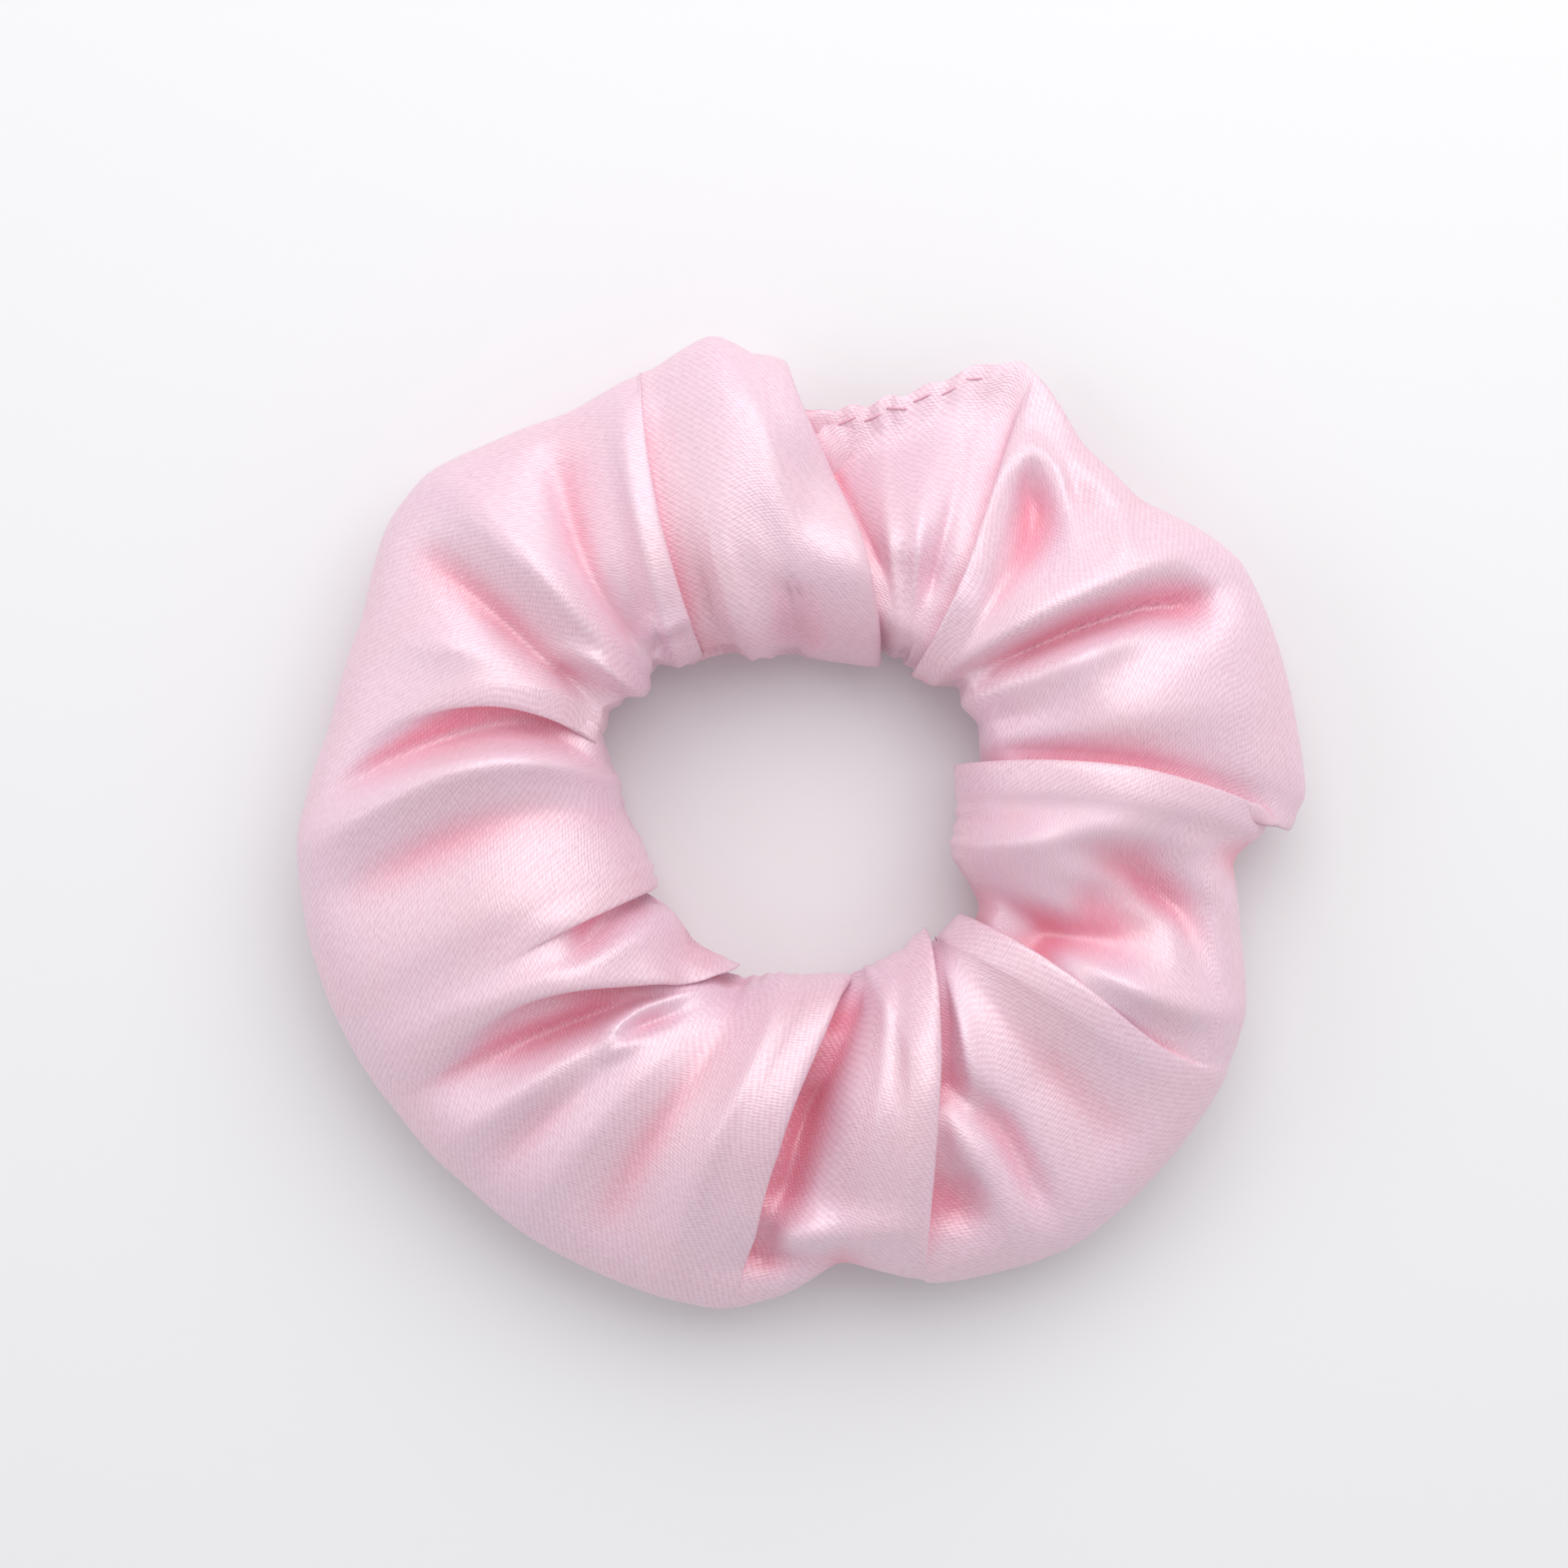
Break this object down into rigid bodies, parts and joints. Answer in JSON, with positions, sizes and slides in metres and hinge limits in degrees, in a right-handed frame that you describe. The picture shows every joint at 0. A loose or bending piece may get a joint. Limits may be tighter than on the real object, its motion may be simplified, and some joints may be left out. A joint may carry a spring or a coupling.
{
  "type": "hair scrunchie",
  "caption": "Gathered satin tube over a stretchy elastic loop; holds hair in its centre hole and pulls open between two fingers.",
  "frame": {"origin": "centre of the ring at the level it rests on", "axes": "+Z along the ring's axis, up from the surface it lies on; X and Y in the plane of the ring, with the long seam's closing lip towards +Y"},
  "size_m": [0.1105, 0.1076, 0.0244],
  "materials": {
    "satin": "light pink polyester satin, soft broad sheen, fine diagonal weave",
    "elastic": "off-white braided elastic, ribbed along its length",
    "thread": "pink spun polyester sewing thread"
  },
  "bodies": {
    "left_half": {"satin_cover_left": "satin", "elastic_band_left": "elastic", "elastic_tack_thread": "thread", "side_seam_thread_left": "thread", "end_seam_thread": "thread"},
    "right_half": {"satin_cover_right": "satin", "elastic_band_right": "elastic", "side_seam_thread_right": "thread", "closing_stitches": "thread"}
  },
  "joints": [
    {"name": "stretch", "type": "slide", "parent": "left_half", "child": "right_half", "axis": [1, 0, 0], "range_m": [0, 0.08], "stiffness_N_per_m": 60}
  ]
}
